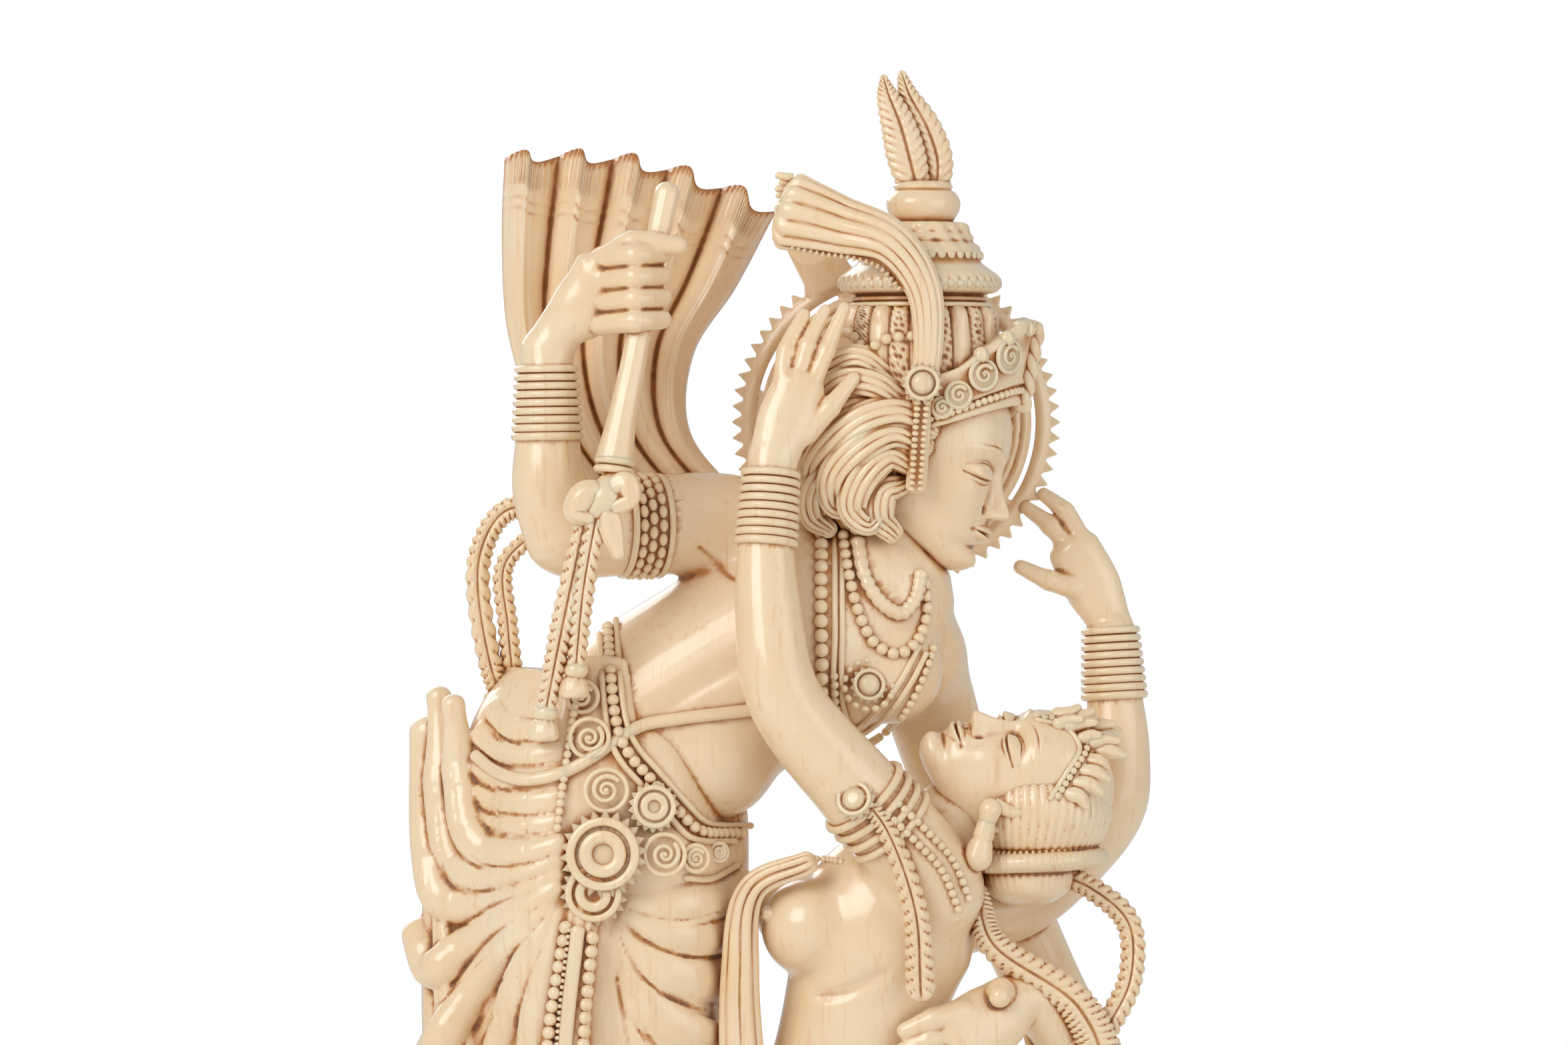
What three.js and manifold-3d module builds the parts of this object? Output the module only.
// A carved group of two embracing figures on one low oval base, and the leafed crest fitted on the crown.
// Millimetres, +Z up, +X to the viewer's right, +Y away from the viewer, origin in the underside's middle.
// Most forms are rounded bars through stations of [x, y, z, half width across the view, half depth].
import * as THREE from "three";
import { mergeVertices } from "three/addons/utils/BufferGeometryUtils.js";
import Module from "manifold-3d";

// Driving dimensions
const BASE = { halfWidth: 72, halfDepth: 40, height: 14, sides: 24 };
const STANDING_HEAD = 43;
const RECLINING_HEAD = 39;
const HALO = { x: 23.6, y: 15, z: 264.8, radius: 34.7, toothDepth: 2.4, teeth: 36, thickness: 3 };
const CROWN = { x: 28.3, y: -2, foot: 270, rimRadius: 16.6, topZ: 305.8, sides: 12 };
const CREST = { gap: 0.35, collarRadius: 7.5, collarHeight: 8.2 };
const VEIL = { folds: 5, levels: 4, halfThickness: 1.4, foldDepth: 5 };
const DHOTI = { folds: 6, foldDepth: 1.7 };
const SKIRT = { folds: 5, foldDepth: 1.4 };
const BANGLE = { pitch: 4.4, swell: 0.9 };
const SLIVER = { edge: 0.7, area: 0.02, turn: 0.5 };
const WELD = 1e-4;

const wasm = await Module();
wasm.setup();

const TAU = Math.PI * 2;
const AWAY = new THREE.Vector3(0, 1, 0);
const vector = (p) => new THREE.Vector3(p[0], p[1], p[2]);

// Closes rings of equal length into one skin, with a point at each end.
function skin(rings, startPole, endPole) {
  const sides = rings[0].length;
  const points = [...rings.flat(), startPole, endPole];
  const faces = [];
  for (let r = 0; r + 1 < rings.length; r++) {
    for (let i = 0; i < sides; i++) {
      const a = r * sides + i;
      const b = r * sides + ((i + 1) % sides);
      faces.push(a, b, a + sides, b, b + sides, a + sides);
    }
  }
  const start = rings.length * sides;
  const last = start - sides;
  for (let i = 0; i < sides; i++) {
    const j = (i + 1) % sides;
    faces.push(start, j, i, start + 1, last + i, last + j);
  }
  const geometry = new THREE.BufferGeometry();
  geometry.setAttribute("position", new THREE.Float32BufferAttribute(points.flatMap((p) => p.toArray()), 3));
  geometry.setIndex(faces);
  return geometry;
}

// A rounded bar through its stations; folds may lift its surface, and either end may be left flat.
function bar(stations, { sides = 6, steps = 1, lift = () => 0, roundStart = false, roundEnd = true } = {}) {
  const curve = new THREE.CatmullRomCurve3(stations.map(vector), false, "centripetal");
  const spans = stations.length - 1;
  const sizeAt = (t) => {
    const i = Math.min(Math.floor(t * spans), spans - 1);
    const f = t * spans - i;
    return [3, 4].map((k) => stations[i][k] * (1 - f) + stations[i + 1][k] * f);
  };
  const ringAt = (t, shrink, push) => {
    const along = curve.getTangent(t);
    const deep = AWAY.clone().addScaledVector(along, -along.y).normalize();
    const wide = new THREE.Vector3().crossVectors(deep, along);
    const [w, d] = sizeAt(t);
    const centre = curve.getPoint(t).addScaledVector(along, push * Math.min(w, d));
    return Array.from({ length: sides }, (_, i) => {
      const angle = (i / sides) * TAU;
      const rise = lift(angle, t) * shrink;
      return centre
        .clone()
        .addScaledVector(wide, (w * shrink + rise) * Math.cos(angle))
        .addScaledVector(deep, (d * shrink + rise) * Math.sin(angle));
    });
  };
  const pole = (t, push) => {
    const [w, d] = sizeAt(t);
    return curve.getPoint(t).addScaledVector(curve.getTangent(t), push * Math.min(w, d));
  };
  const rings = Array.from({ length: spans * steps + 1 }, (_, i) => ringAt(i / (spans * steps), 1, 0));
  if (roundStart) rings.unshift(ringAt(0, 0.7, -0.66));
  if (roundEnd) rings.push(ringAt(1, 0.7, 0.66));
  return skin(rings, pole(0, roundStart ? -0.95 : 0), pole(1, roundEnd ? 0.95 : 0));
}

function ball(centre, radii, columns = 8, rows = 6) {
  const geometry = new THREE.SphereGeometry(1, columns, rows).rotateX(Math.PI / 2);
  return geometry.scale(radii[0], radii[1], radii[2]).translate(centre[0], centre[1], centre[2]);
}

// A turned form from [radius, height] pairs that start and end on the axis.
function turned(profile, sides) {
  const outline = profile.map(([radius, height]) => new THREE.Vector2(radius, height));
  return new THREE.LatheGeometry(outline, sides).rotateX(Math.PI / 2);
}

// A disc with pointed teeth, standing across the view; slits go right through it.
function toothedDisc(centre, radius, toothDepth, teeth, thickness, slits = []) {
  const root = radius - toothDepth;
  const corners = Array.from({ length: teeth * 2 }, (_, i) => {
    const angle = (i / (teeth * 2)) * TAU;
    const reach = i % 2 ? radius : root;
    return new THREE.Vector2(reach * Math.cos(angle), reach * Math.sin(angle));
  });
  const shape = new THREE.Shape(corners);
  shape.holes.push(...slits);
  const geometry = new THREE.ExtrudeGeometry(shape, { depth: thickness, bevelEnabled: false });
  return geometry.rotateX(Math.PI / 2).translate(centre[0], centre[1] + thickness / 2, centre[2]);
}

// A curved slit along part of a ring, from one angle to another.
function ringSlit(inner, outer, from, to) {
  const steps = 4;
  const arc = (radius) =>
    Array.from({ length: steps + 1 }, (_, i) => {
      const angle = from + ((to - from) * i) / steps;
      return new THREE.Vector2(radius * Math.cos(angle), radius * Math.sin(angle));
    });
  return new THREE.Path([...arc(outer), ...arc(inner).reverse()]);
}

function toSolid(geometry) {
  geometry.deleteAttribute("normal");
  geometry.deleteAttribute("uv");
  const merged = mergeVertices(geometry, WELD);
  const vertProperties = new Float32Array(merged.attributes.position.array);
  const triVerts = new Uint32Array(merged.index.array);
  return new wasm.Manifold(new wasm.Mesh({ numProp: 3, vertProperties, triVerts }));
}

function fuse(geometries) {
  return geometries.map(toSolid).reduce((whole, piece) => whole.add(piece));
}

// Joins points that lie closer than a limit, where the skin stays closed and no face turns over.
function joinShortEdges(points, faces, limit) {
  const around = points.map(() => new Set());
  faces.forEach((face, f) => face.forEach((v) => around[v].add(f)));
  const ring = (v) => new Set([...around[v]].flatMap((f) => faces[f]).filter((w) => w !== v));
  const slant = (corners) => {
    const [a, b, c] = corners;
    return new THREE.Vector3().crossVectors(b.clone().sub(a), c.clone().sub(a));
  };
  const staysUp = (face, from, to, place) => {
    const before = slant(face.map((v) => points[v]));
    const after = slant(face.map((v) => (v === from || v === to ? place : points[v])));
    if (before.length() < SLIVER.area) return after.length() < SLIVER.area || before.dot(after) > 0;
    return before.dot(after) > SLIVER.turn * before.length() * after.length() && after.length() > SLIVER.area;
  };
  const edges = faces
    .flatMap(([a, b, c]) => [[a, b], [b, c], [c, a]])
    .filter(([a, b]) => a < b && points[a].distanceTo(points[b]) < limit)
    .sort(([a, b], [c, d]) => points[a].distanceTo(points[b]) - points[c].distanceTo(points[d]));
  for (const [a, b] of edges) {
    if (points[a].distanceTo(points[b]) >= limit || !around[a].size || !around[b].size) continue;
    const shared = [...around[a]].filter((f) => around[b].has(f));
    const ringA = ring(a);
    const common = [...ring(b)].filter((v) => ringA.has(v));
    if (shared.length !== 2 || common.length !== 2) continue;
    const kept = [...around[a], ...around[b]].filter((f) => !shared.includes(f));
    const places = [points[a].clone().lerp(points[b], 0.5), points[a].clone(), points[b].clone()];
    const place = places.find((spot) => kept.every((f) => staysUp(faces[f], a, b, spot)));
    if (!place) continue;
    points[a] = place;
    for (const f of shared) faces[f].forEach((v) => around[v].delete(f));
    for (const f of around[b]) {
      faces[f] = faces[f].map((v) => (v === b ? a : v));
      around[a].add(f);
    }
    around[b].clear();
    shared.forEach((f) => (faces[f] = null));
  }
  return faces.filter((face) => face);
}

function toMesh(solid, name, material) {
  const { numProp, numVert, vertProperties, triVerts } = solid.getMesh();
  const points = Array.from({ length: numVert }, (_, i) => {
    return new THREE.Vector3().fromArray(vertProperties, i * numProp);
  });
  const faces = Array.from({ length: triVerts.length / 3 }, (_, f) => [...triVerts.slice(f * 3, f * 3 + 3)]);
  const kept = joinShortEdges(points, faces, SLIVER.edge);
  const corners = kept.flat().flatMap((v) => points[v].toArray());
  const loose = new THREE.BufferGeometry();
  loose.setAttribute("position", new THREE.Float32BufferAttribute(corners, 3));
  const geometry = mergeVertices(loose, WELD);
  geometry.computeVertexNormals();
  const mesh = new THREE.Mesh(geometry, material);
  mesh.name = name;
  return mesh;
}

// Stations of an arm where rings are cut round it, between a low and a high station.
function bangles(low, high) {
  const grooves = Math.round(vector(low).distanceTo(vector(high)) / BANGLE.pitch);
  return Array.from({ length: grooves * 2 + 1 }, (_, i) => {
    const f = i / (grooves * 2);
    const swell = i % 2 ? 0 : BANGLE.swell;
    return low.map((value, k) => value * (1 - f) + high[k] * f + (k > 2 ? swell : 0));
  });
}

// A finger in two bones, from [x, y, z, half thickness] at knuckle, joint and tip.
function finger(...joints) {
  return bar(joints.map(([x, y, z, r]) => [x, y, z, r, r]), { sides: 5 });
}

function standingTorso() {
  const torso = bar(
    [
      [-40, 0, 191, 22, 20],
      [-27, 0, 201.6, 22.6, 20],
      [-10, 0, 212.4, 22.6, 20],
      [8, 0, 222, 24, 20],
      [19, 0, 229, 18, 16],
    ],
    { sides: 10 },
  );
  const neck = bar([[16, -1, 226, 9, 9], [22, -2, 242, 8, 8]], { roundEnd: false });
  const farShoulder = ball([27.5, 6, 216], [10.5, 12, 12.5], 8, 5);
  return [torso, neck, farShoulder];
}

// The far arm passes behind the reclining back and comes round to the waist, with the elbow low on the right.
function standingFarArm() {
  const arm = bar(
    [
      [28, 10, 214, 10, 9],
      [35, 18, 192, 9, 8.5],
      [46, 21, 166, 8.5, 8],
      [56, 20, 144, 8, 8],
      [65, 11, 128, 7.6, 7.6],
      [60.5, -1, 134, 6.8, 6.8],
      [50, -11, 145, 5.6, 5.4],
      [43, -16, 141, 7.5, 4],
      [36, -20, 137, 7.5, 3.4],
    ],
    { sides: 7 },
  );
  const thumb = finger([45, -14, 146, 2.7], [44.6, -20, 146, 3]);
  const fingers = [0, 1, 2, 3].map((i) => {
    const z = 143 - i * 4.4;
    return finger([37 - i, -19.6, z, 2.4], [25 - i, -21.6, z - 4, 2]);
  });
  return [arm, thumb, ...fingers];
}

// The raised arm goes out level to the elbow and up to a fist turned in round the flute.
function standingRaisedArm() {
  const upperArm = bar(
    [
      [4, 3, 236, 13, 12],
      [-13, -1, 243, 11, 11],
      [-27, -5.6, 243, 10.3, 10.1],
      [-27.4, -5.7, 243, 11.3, 11.1],
      [-31.4, -7, 243, 11.2, 11],
      [-31.8, -7.1, 243, 10, 9.9],
      [-42, -11, 242, 10, 9],
    ],
    { sides: 8 },
  );
  const forearm = bar(
    [
      [-45.5, -13, 241, 8.2, 8],
      [-48.3, -15, 251, 7.8, 7.2],
      ...bangles([-48.8, -15, 261.5, 6.4, 6], [-49, -15, 275, 5.6, 5.4]),
      [-49.2, -15, 279, 4.8, 4.4],
    ],
    { sides: 8, roundStart: true },
  );
  const palm = bar([[-49, -15, 279, 5, 3.8], [-43.5, -17, 287, 5.4, 3.8], [-37, -19.5, 293, 8, 3.6]]);
  const fingers = [0, 1, 2, 3].map((i) => {
    const z = 284.6 + i * 4.5;
    return finger([-37.5, -20, z, 2.4], [-30.5, -26.5, z + 0.5, 2.3], [-25, -22, z + 0.9, 2.1]);
  });
  const thumb = finger([-38, -19, 297, 2.6], [-31, -24, 301.4, 2.3], [-21.6, -23.4, 300.6, 2]);
  return [upperArm, forearm, palm, thumb, ...fingers];
}

function flute() {
  const pipe = bar(
    [
      [-24, -20, 311.5, 2.4, 2.4],
      [-28.6, -22.2, 289, 2.3, 2.3],
      [-33.4, -25.6, 264, 3, 3],
      [-35, -27.2, 254.4, 4.2, 4],
    ],
    { roundStart: true },
  );
  const bow = [
    [[-31, -29, 249.4, 2, 2], [-37, -28.4, 250, 3.2, 3.2], [-42, -29, 245.4, 2.4, 2.2]],
    [[-36.5, -28.4, 249, 2, 2], [-35.2, -29, 242, 2.7, 1.8], [-34, -28.4, 236, 1, 1]],
  ].map((loop) => bar(loop, { sides: 5 }));
  const tassels = [
    [
      [-38, -28, 247, 2, 1.8],
      [-41, -28.5, 230, 2.2, 2],
      [-42.5, -28, 215, 1.8, 1.8],
      [-42.8, -27, 208, 3, 2.6],
    ],
    [
      [-40, -27, 247, 2, 1.8],
      [-45, -28, 224, 2.5, 2.1],
      [-48.6, -26.6, 205, 1.9, 1.9],
      [-49.3, -25.5, 200, 3, 2.6],
    ],
  ].map((tassel) => bar(tassel, { sides: 5 }));
  return [pipe, ...bow, ...tassels];
}

// A pleated veil that flares up behind the raised arm; its folds deepen towards its stepped top edge.
function veil() {
  const left = new THREE.CatmullRomCurve3(
    [[-38, 3, 246], [-50, 5, 262], [-57.4, 6, 282], [-59, 7, 303], [-58.5, 8, 320]].map(vector),
  );
  const right = new THREE.CatmullRomCurve3(
    [[-8, 5, 248], [-19.6, 7, 263], [-18.8, 8, 279], [-10, 9, 293], [-1.6, 9, 309]].map(vector),
  );
  const across = VEIL.folds * 4;
  const edges = (t, f, side) => {
    const sheet = VEIL.halfThickness * (2 - t);
    const wave = VEIL.foldDepth * (0.15 + 0.85 * t) * Math.cos(VEIL.folds * TAU * f);
    const step = t === 1 ? 4.5 * Math.sin(Math.PI * f) + 1.4 * Math.sin(VEIL.folds * TAU * f) : 0;
    return left.getPoint(t).lerp(right.getPoint(t), f).add(new THREE.Vector3(0, wave + side * sheet, step));
  };
  const rings = Array.from({ length: VEIL.levels + 1 }, (_, level) => {
    const t = level / VEIL.levels;
    const front = Array.from({ length: across + 1 }, (_, i) => edges(t, i / across, -1));
    const back = Array.from({ length: across + 1 }, (_, i) => edges(t, 1 - i / across, 1));
    return [...front, ...back];
  });
  return skin(rings, edges(0, 0.5, 0), edges(1, 0.5, 0));
}

function halo() {
  const slits = [[28, 29.6, -0.6, 0.7], [28, 29.6, 2, 2.9]].map((slit) => ringSlit(...slit));
  const { x, y, z, radius, toothDepth, teeth, thickness } = HALO;
  const link = bar([[2.6, 9, 307, 4.4, 2.2], [10, 13.6, 294, 5.4, 2]], { sides: 5 });
  return [toothedDisc([x, y, z], radius, toothDepth, teeth, thickness, slits), link];
}

// A head in units of its own height: x towards the face, z up, the origin at its middle.
function head(place, height) {
  const skull = bar(
    [
      [0.3, 0, -0.48, 0.08, 0.08],
      [0.26, 0, -0.41, 0.17, 0.16],
      [0.17, 0, -0.28, 0.25, 0.24],
      [0.05, 0, -0.12, 0.37, 0.3],
      [0, 0, 0.02, 0.42, 0.33],
      [-0.01, 0, 0.16, 0.45, 0.36],
      [-0.04, 0, 0.33, 0.38, 0.33],
      [-0.04, 0, 0.45, 0.2, 0.18],
    ],
    { sides: 10 },
  );
  const side = 0.004;
  const nose = bar(
    [[0.4, side, 0.07, 0.03, 0.03], [0.43, side, -0.04, 0.045, 0.04], [0.455, side, -0.135, 0.05, 0.06]],
    { sides: 5 },
  );
  const lips = ball([0.385, side, -0.275], [0.055, 0.095, 0.05], 6, 4);
  const lids = [-0.145, 0.145].map((y) => ball([0.345, y, 0.005], [0.07, 0.085, 0.045], 6, 4));
  const scale = new THREE.Matrix4().makeScale(height, height, height);
  return [skull, nose, lips, ...lids].map((form) => form.applyMatrix4(scale).applyMatrix4(place));
}

function faceFrame(centre, forward, up) {
  const x = vector(forward).normalize();
  const y = new THREE.Vector3().crossVectors(vector(up), x).normalize();
  const z = new THREE.Vector3().crossVectors(x, y);
  return new THREE.Matrix4().makeBasis(x, y, z).setPosition(vector(centre));
}

// The band of the crown runs round the brow and climbs to a pointed plate in front.
function browBand(place) {
  const half = 1.75;
  const spans = 8;
  const rings = Array.from({ length: spans + 1 }, (_, i) => {
    const angle = half - (2 * half * i) / spans;
    const rise = 0.15 + 0.27 * Math.cos(angle / 1.4) ** 4;
    const section = [[0.38, 0.17], [0.475, 0.19], [0.5, 0.21 + rise], [0.42, 0.21 + rise]];
    return section.map(([r, z]) => vector([r * Math.cos(angle) - 0.01, 0.84 * r * Math.sin(angle), z]));
  });
  const middle = (ring) => ring[0].clone().lerp(ring[2], 0.5);
  const band = skin(rings, middle(rings[0]), middle(rings[spans]));
  return band.scale(STANDING_HEAD, STANDING_HEAD, STANDING_HEAD).applyMatrix4(place);
}

function crown() {
  const tiers = turned(
    [
      [0, CROWN.foot],
      [18.6, CROWN.foot],
      [17.8, 279],
      [13.8, 290.2],
      [CROWN.rimRadius, 293.6],
      [15.6, 297.4],
      [10.8, 301.4],
      [9.6, CROWN.topZ],
      [0, CROWN.topZ],
    ],
    CROWN.sides,
  ).translate(CROWN.x, CROWN.y, 0);
  const rosette = toothedDisc([28.6, -21.6, 272.4], 4.4, 0.9, 8, 4);
  const dropBand = bar([[28.7, -19.6, 272, 2, 1.8], [27.3, -18, 251, 2.2, 1.6]], { sides: 5 });
  const plume = bar(
    [
      [28.9, -20, 272, 2.6, 2.2],
      [29.9, -20, 282, 3, 2.6],
      [28.6, -19.5, 292.5, 3.6, 3],
      [22, -18.5, 301.4, 4.6, 3.4],
      [11, -16, 305, 6.4, 3.4],
      [-0.5, -14, 308.6, 8.2, 3.4],
    ],
    { roundEnd: false },
  );
  return [tiers, rosette, dropBand, plume];
}

// Wavy locks run back from the temple and curl at the nape.
function standingHair() {
  const nape = ball([14, 0, 257], [14, 15.6, 14], 8, 5);
  const locks = [
    [[30, -16, 263, 2.4, 2.6], [19, -18, 265, 3.6, 3.6], [10.5, -16, 260, 3.8, 3.8], [6, -12, 254, 2.6, 2.6]],
    [
      [28, -16, 258.6, 2.2, 2.4],
      [18, -18.6, 259.6, 3.4, 3.4],
      [10, -17, 253.6, 3.4, 3.4],
      [9, -14, 247, 2.4, 2.4],
    ],
    [
      [26, -16, 254, 2, 2.2],
      [18, -18, 253.6, 3.2, 3.2],
      [13, -17, 247.6, 3.2, 3.2],
      [16, -15, 243.4, 2.2, 2.2],
    ],
    [[23, -14, 250.4, 2, 2.2], [19.4, -15.4, 247, 3.2, 3.2], [21, -13, 241, 2, 2]],
  ].map((lock) => bar(lock, { sides: 5 }));
  return [nape, ...locks];
}

function recliningTorso() {
  const torso = bar(
    [
      [32, -6, 178, 10, 11],
      [27, -7, 170, 16, 15],
      [21, -7, 159, 19, 17],
      [17.5, -6, 146, 17, 15],
      [14.5, -5, 133, 16.5, 15],
      [12, -5, 118, 19, 17.5],
    ],
    { sides: 10, roundStart: true, roundEnd: false },
  );
  const breasts = [ball([5.6, -12, 160], [10.2, 11, 10.4], 10, 7), ball([3.4, 5, 163], [9.5, 10, 10], 8, 5)];
  const nipple = ball([-3.6, -16.4, 163], [1.6, 1.7, 1.6], 5, 3);
  const neck = bar([[28, -7, 174, 9.5, 10], [42, -7, 188, 8, 8.5]], { roundEnd: false });
  return [torso, ...breasts, nipple, neck];
}

function recliningSkirt() {
  const folds = (angle, t) => SKIRT.foldDepth * Math.min(1, t * 3) * Math.cos(SKIRT.folds * angle + 2 * t);
  return bar(
    [
      [13, -5, 126, 16.5, 15],
      [10.6, -6, 108, 20.5, 18],
      [6.4, -9, 76, 19, 18],
      [9, -9, 42, 20, 19],
      [14, -8, 8, 26, 23],
    ],
    { sides: SKIRT.folds * 4, lift: folds, roundEnd: false },
  );
}

// The near arm rises to the crown with the elbow low in front; the far arm bends up to the halo.
function recliningArms() {
  const nearArm = bar(
    [
      [31, -15, 168, 10.5, 11],
      [24, -22, 179, 9.4, 9.4],
      [20.4, -23.6, 183.2, 9.1, 9.1],
      [20, -23.8, 183.6, 10, 10],
      [15.6, -25.6, 188.4, 9.8, 9.8],
      [15.2, -25.8, 188.8, 8.8, 8.8],
      [0, -29, 208, 7.8, 7.4],
      [-3, -27.4, 224, 7, 6.6],
      ...bangles([-3.6, -25.2, 240, 5.6, 5.2], [-2.6, -23.4, 253.4, 5, 4.8]),
      [-2.2, -23, 257, 4.7, 4],
    ],
    { sides: 7, roundStart: true },
  );
  const nearPalm = bar([[-2.2, -23, 257, 5, 3.6], [0.6, -22, 265, 6, 3.4], [3.4, -21, 272, 5.4, 3]]);
  const nearFingers = [
    finger([-0.4, -21.5, 270, 2], [0.6, -20, 279, 1.9], [4.2, -18, 286.6, 1.6]),
    finger([2.6, -21.5, 271, 2], [8.6, -17.6, 286.6, 1.6]),
    finger([5.6, -21.5, 270.6, 2.1], [8.8, -20, 279, 1.9], [12.6, -18, 287, 1.5]),
    finger([4.6, -22, 262, 2.5], [14, -20, 273, 1.7]),
  ];
  const farArm = bar(
    [
      [36, 5, 162, 9, 9],
      [49, 11, 164, 7.6, 8],
      [60, 12, 174, 8.2, 8],
      [68, 11, 185, 8.2, 8],
      [70, 11, 196, 6.8, 6.8],
      ...bangles([69.4, 12, 208, 5.6, 5.6], [68.6, 12.4, 221, 5, 4.8]),
      [68.2, 12.6, 223, 4.7, 4],
      [65, 12.6, 230, 6, 3.6],
      [61, 12.6, 238, 5.6, 3.4],
    ],
    { sides: 7 },
  );
  const farFingers = [
    finger([63, 12.6, 239, 2.1], [59, 13, 246, 2], [54.6, 13.6, 249.6, 1.7]),
    finger([60.4, 12.6, 238, 2.1], [51, 13.2, 246.4, 1.7]),
    finger([61, 11, 230, 2.5], [50, 9, 234, 1.8]),
  ];
  return [nearArm, nearPalm, ...nearFingers, farArm, ...farFingers];
}

// Hair bound by a braided disc, with a bun under it and a band of flame points across the brow.
function recliningHair() {
  const hair = ball([53, -6, 184], [15, 16, 13], 9, 6);
  const bun = ball([50.5, -6, 170], [9.4, 11, 6.2], 8, 5);
  const braid = turned([[0, -1.7], [13.6, -1.7], [14.8, 0], [13.6, 1.7], [0, 1.7]], 16)
    .rotateY(-0.05)
    .translate(52.6, -6, 173.6);
  const flames = [0, 0.5, 1].map((turn) => {
    const root = [59, -12 - turn * 9, 203 - turn * 14, 2.8, 2.8];
    return bar([root, [69 - turn * 4, -12 - turn * 10, 201.6 - turn * 13, 1.6, 1.6]], { sides: 5 });
  });
  const band = bar([[58, -2, 206, 1.8, 2], [58, -18, 200, 1.8, 2], [56, -23, 185, 1.6, 1.8]], { sides: 5 });
  const earDrop = bar([[42.6, -21, 184.5, 2.6, 2.6], [41.4, -20.6, 181, 1.8, 1.8], [39.8, -20, 175, 3, 3]], {
    sides: 5,
    roundStart: true,
  });
  return [hair, bun, braid, ...flames, band, earDrop];
}

// A foot under a hem, from heel to toes, turned by an angle from straight ahead.
function foot(toeX, toeY, turn) {
  const along = (length) => [toeX - length * Math.sin(turn), toeY + length * Math.cos(turn)];
  return bar([[...along(16), 17, 4.6, 5.4], [...along(0), 15.6, 2.6, 6]]);
}

// Cloth bound at the hips and hanging in upright folds to the base.
function dhoti() {
  const { folds: count, foldDepth } = DHOTI;
  const folds = (angle, t) => foldDepth * Math.min(1, t * 2.5) * Math.cos(count * angle + 1.5 * t);
  const skirt = bar(
    [
      [-37, 0, 212, 20, 17],
      [-38, 0, 200, 26.4, 22],
      [-38, 0, 182, 29, 25],
      [-38, 0, 136, 27.6, 24],
      [-38, 0, 72, 25.6, 23],
      [-37, 0, 8, 29.5, 27],
    ],
    { sides: count * 4, lift: folds, roundEnd: false },
  );
  const centrePleat = bar(
    [
      [-41, -24.6, 166, 3, 2.6],
      [-46, -26, 120, 5, 3.4],
      [-45, -28, 30, 6, 4],
    ],
    { sides: 5 },
  );
  const clothEnd = bar(
    [
      [-71.6, 3, 207, 3, 4],
      [-70.2, 3, 190, 4, 6],
      [-67.6, 2, 144, 8, 12],
      [-62, 1, 84, 10, 13],
      [-59, 1, 8, 12, 14],
    ],
    { sides: 7, roundEnd: false },
  );
  const swags = [
    [[-65.4, -4, 177, 2.6, 3.4], [-57, -17, 171.5, 2.8, 3], [-45, -23.8, 177, 2, 2.4]],
    [[-65.6, -5, 159, 2.8, 3.4], [-57, -17, 160.5, 2.8, 3], [-44, -24, 172, 2, 2.4]],
    [[-64, -9, 137, 2.8, 3.4], [-55, -18.6, 147, 2.8, 3], [-43, -24, 168, 2, 2.4]],
    [[-11.6, -9, 158, 2.8, 3.4], [-20, -18.6, 157.5, 2.8, 3], [-34, -24, 170, 2, 2.4]],
  ].map((swag) => bar(swag, { sides: 5 }));
  return [skirt, centrePleat, clothEnd, ...swags, foot(-30, -31, 0.2), foot(-50, -33, -0.2)];
}

function girdle() {
  const belt = bar(
    [
      [-46, -19, 213, 4.4, 3],
      [-41, -23, 198, 6.4, 3.4],
      [-36, -25.4, 184, 6.6, 3.4],
      [-24, -23.6, 177, 5.4, 3.4],
      [-9, -15, 175, 4, 3],
    ],
    { sides: 5, roundStart: true },
  );
  const edge = bar(
    [
      [-36.4, -10, 220, 1.8, 1.8],
      [-34.4, -20, 204, 1.8, 2],
      [-26, -22.4, 188, 1.8, 2],
      [-8, -13, 179, 1.8, 1.8],
    ],
    { sides: 4 },
  );
  const rosettes = [
    [-36.9, -28.6, 175.6, 9, 1.6, 12, 5],
    [-26.7, -27, 185.2, 5.2, 1, 8, 4],
    [-38.9, -26.6, 167, 6.6, 1.3, 10, 3.6],
  ].map(([x, y, z, ...sizes]) => toothedDisc([x, y, z], ...sizes));
  const boss = ball([-36.9, -31, 175.6], [5.4, 2, 5.4], 8, 4);
  return [belt, edge, ...rosettes, boss];
}

function necklaces() {
  const strings = [
    [[8, -18.6, 241, 1.5, 1.6], [8.6, -20, 205, 1.5, 1.6]],
    [[11.4, -18.6, 238, 1.4, 1.5], [16, -18.4, 223.4, 1.4, 1.5], [27.4, -11, 226, 1.4, 1.5]],
    [[10.8, -20.4, 210, 1.2, 1.5], [17.6, -18.4, 199.6, 1.2, 1.5], [29, -12.4, 214, 1.2, 1.5]],
  ].map((string) => bar(string, { sides: 4 }));
  return [...strings, toothedDisc([17.6, -18.6, 210.2], 5.8, 0.8, 8, 4)];
}

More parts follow.
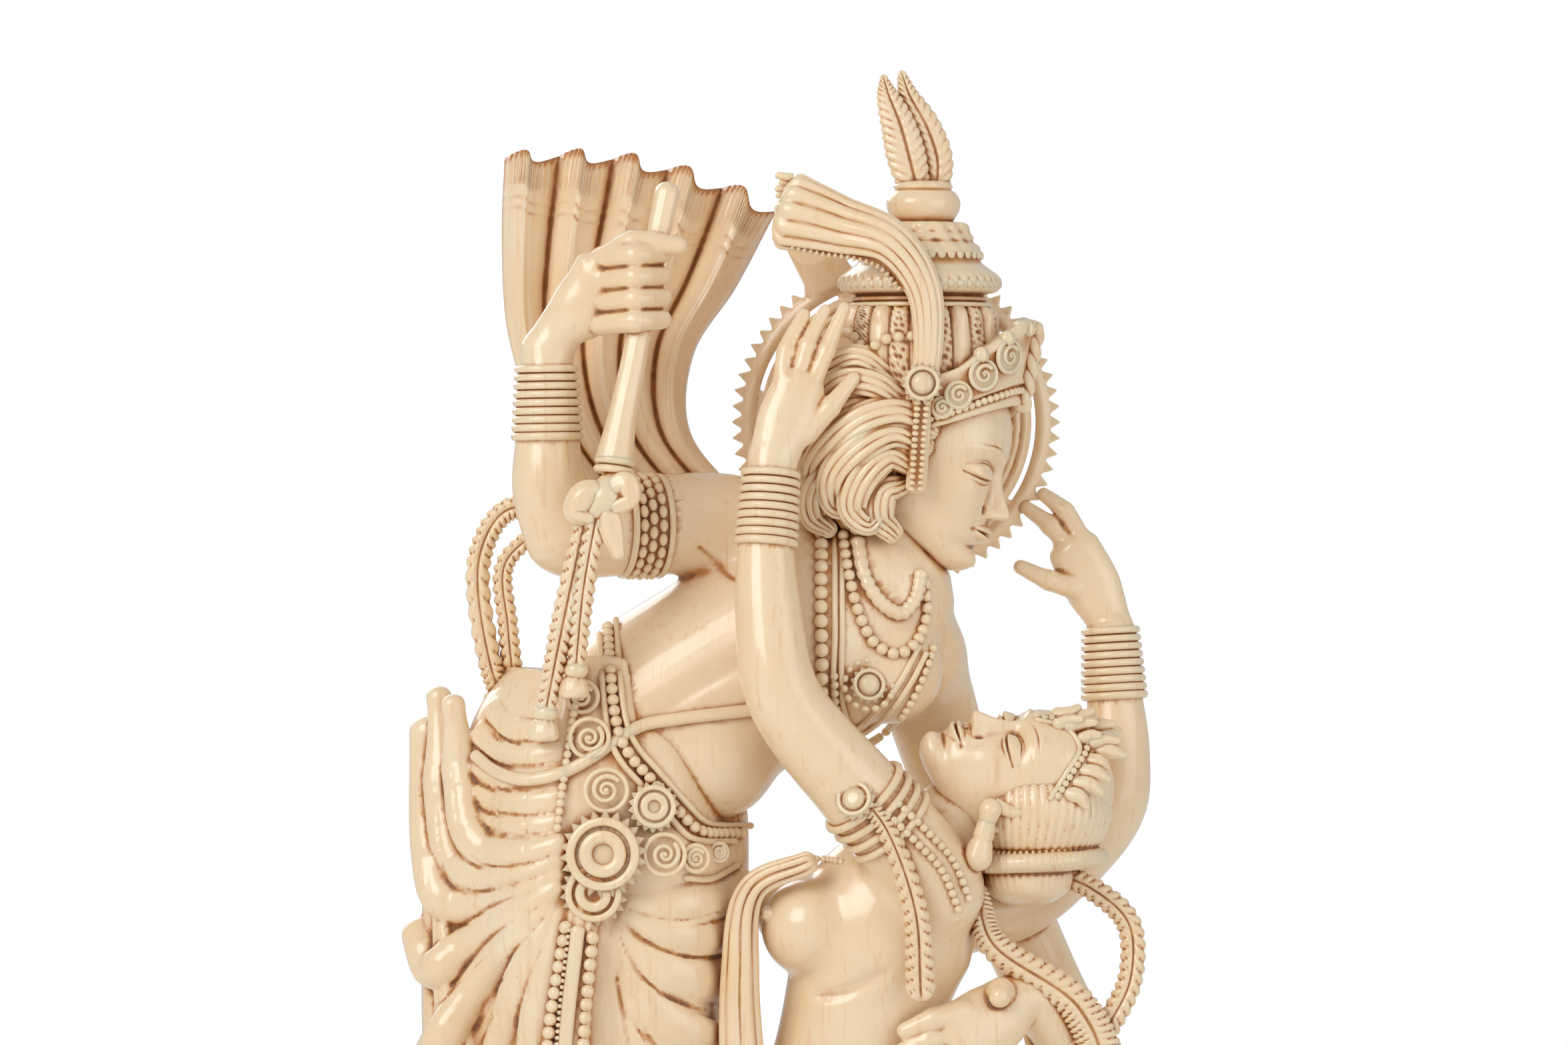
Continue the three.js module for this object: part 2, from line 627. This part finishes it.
// Scarf ends: two off the raised elbow, two off the hair disc, one off the near armlet and one at the waist.
function ribbons() {
  const waistScarf = [
    [5, -22, 173.6, 2, 2.4],
    [-6.4, -18.6, 168, 2.6, 3],
    [-9, -17, 150, 3.4, 4.2],
    [-6, -18, 98, 5, 5],
  ];
  const outerStrand = [
    [-48, 0, 247, 2.4, 2],
    [-58, 0, 246, 2.2, 2],
    [-63.4, 0, 236, 2.2, 2],
    [-61, 0, 214, 2.2, 2],
    [-58, 1, 205, 2.6, 2.4],
  ];
  const innerStrand = [[-50, 0, 243, 1.6, 1.6], [-58, 0, 235, 1.7, 1.6], [-56, 1, 208, 2.6, 2.2]];
  const upperScarf = [
    [56, -2, 171, 2.4, 2],
    [64, -3, 167.6, 2.2, 1.8],
    [71.6, -4, 160.6, 2.3, 1.8],
    [72, -6, 149, 2.3, 1.8],
    [67, -8, 139, 2.4, 2],
  ];
  const lowerScarf = [
    [40, -13, 167, 2.2, 2],
    [43, -14.6, 157, 2.8, 2],
    [61, -12, 143.4, 3.6, 2.4],
    [66, -10, 130, 4.4, 2.6],
    [57, -9, 110, 5, 3.4],
    [30, -8, 80, 5, 5],
  ];
  const armletEnd = [[18, -34, 186, 1.8, 1.4], [27, -28.6, 164, 2.4, 1.6], [28.2, -24, 145, 2.7, 1.6]];
  const routes = [waistScarf, outerStrand, innerStrand, upperScarf, lowerScarf, armletEnd];
  return routes.map((route) => bar(route, { sides: 5 }));
}

function base() {
  const profile = [[0, 0], [1, 0], [1, 0.3], [0.95, 0.42], [0.95, 1], [0, 1]];
  const turnedBase = turned(profile.map(([r, z]) => [r, z * BASE.height]), BASE.sides);
  return turnedBase.scale(BASE.halfWidth, BASE.halfDepth, 1);
}

function crestFinial() {
  const seat = CROWN.topZ + CREST.gap;
  const { collarRadius, collarHeight } = CREST;
  const collar = turned(
    [
      [0, 0],
      [6, 0],
      [6.4, 1.6],
      [collarRadius, 3.2],
      [collarRadius, 5.2],
      [5.4, collarHeight],
      [0, collarHeight],
    ],
    14,
  ).translate(29, CROWN.y, seat);
  const leaves = [
    [
      [27.4, -3, 312, 3.2, 2.6],
      [25.3, -3.4, 320.6, 3.2, 2.4],
      [23.3, -3.4, 327, 2.9, 2.2],
      [21.4, -3, 335.6, 1.3, 1.4],
    ],
    [
      [31, -1.2, 312, 2.6, 2.6],
      [30.8, -1, 319.4, 3, 2.4],
      [28.4, -1, 327, 2.9, 2.2],
      [24.2, -1.4, 337, 1.4, 1.4],
    ],
  ].map((leaf) => bar(leaf, { sides: 8 }));
  return [collar, ...leaves];
}

const ivory = new THREE.MeshStandardMaterial({ color: 0xe9d3ac, roughness: 0.35, metalness: 0 });
const standingFace = faceFrame([28.9, -2, 257], [0.93, -0.3, -0.2], [0.2, 0, 1]);
const recliningFace = faceFrame([49, -7, 189], [-0.14, -0.5, 0.86], [1, 0.02, 0.1]);

const carving = fuse([
  base(),
  ...standingTorso(),
  ...dhoti(),
  ...standingFarArm(),
  ...standingRaisedArm(),
  ...head(standingFace, STANDING_HEAD),
  browBand(standingFace),
  ...crown(),
  ...standingHair(),
  veil(),
  ...halo(),
  ...recliningTorso(),
  recliningSkirt(),
  foot(2, -33, -0.15),
  foot(20, -33, 0.15),
  ...recliningArms(),
  ...head(recliningFace, RECLINING_HEAD),
  ...recliningHair(),
  ...flute(),
  ...girdle(),
  ...necklaces(),
  ...ribbons(),
]);

const statue = new THREE.Group();
statue.add(toMesh(carving, "carved_group", ivory));
statue.add(toMesh(fuse(crestFinial()), "crest_finial", ivory));

export default statue;
